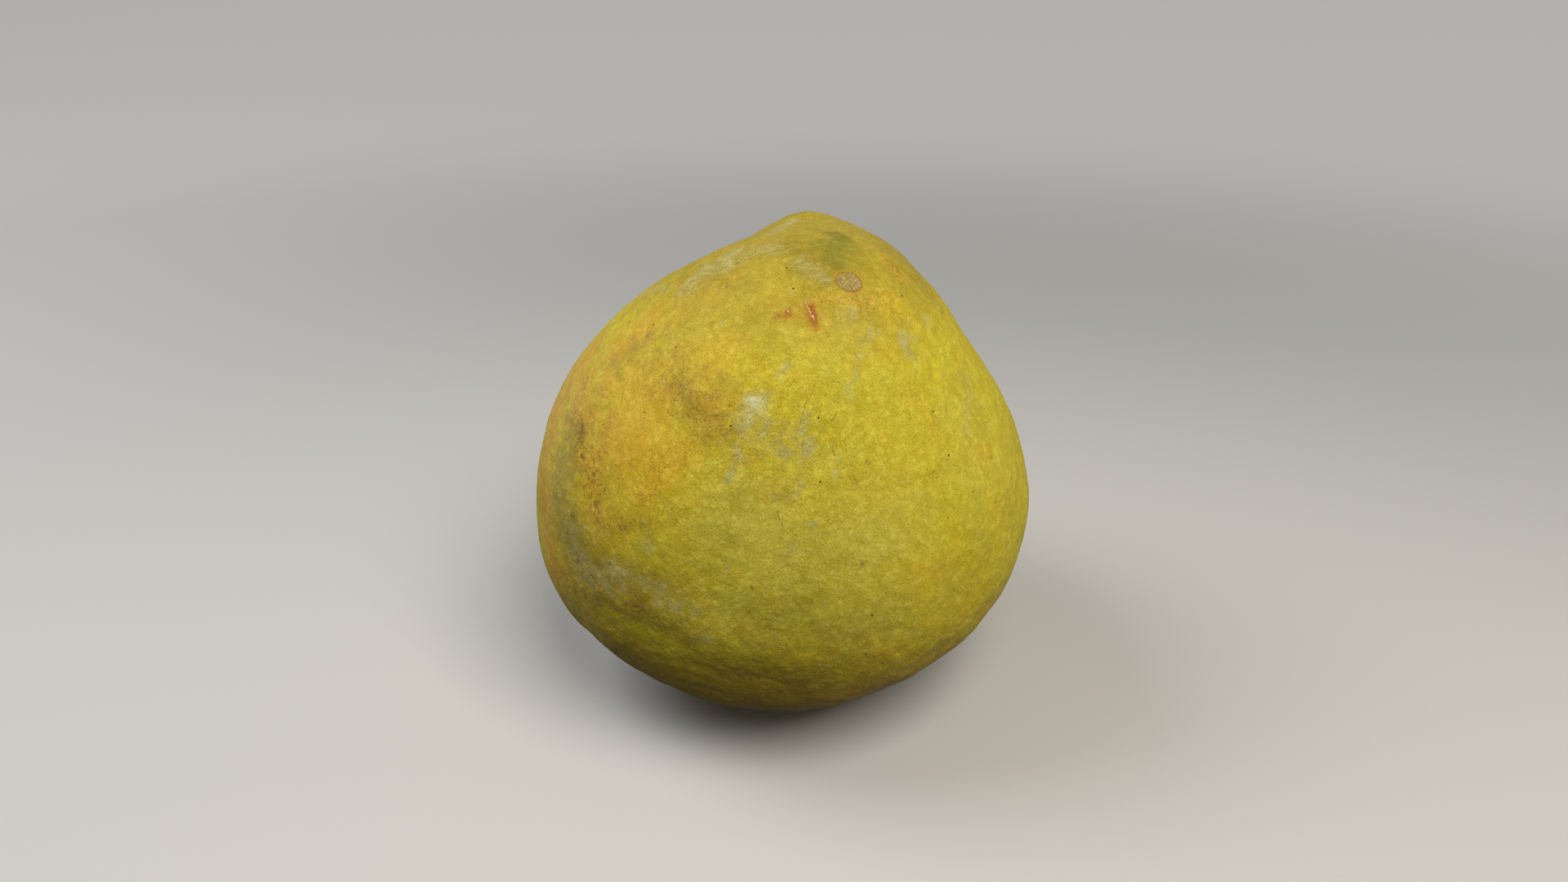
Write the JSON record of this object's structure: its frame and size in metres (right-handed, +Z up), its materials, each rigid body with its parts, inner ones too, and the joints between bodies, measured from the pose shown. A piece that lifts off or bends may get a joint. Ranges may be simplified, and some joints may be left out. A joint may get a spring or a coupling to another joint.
{
  "type": "pomelo",
  "caption": "Whole pomelo: round yellow citrus fruit with a short leaning neck and stem scar, resting on a small flat spot.",
  "frame": {"origin": "middle of the small flat spot that the fruit rests on", "axes": "+Z up, from the flat spot through the body's centre; the neck leans towards -Y, the front, and a little towards +X"},
  "size_m": [0.1493, 0.1486, 0.1434],
  "materials": {
    "rind": "thick waxy citrus rind, yellow, pitted with fine oil glands, with corky scuffs and brown marks"
  },
  "bodies": {
    "root": {"pomelo_fruit": "rind"}
  },
  "joints": []
}
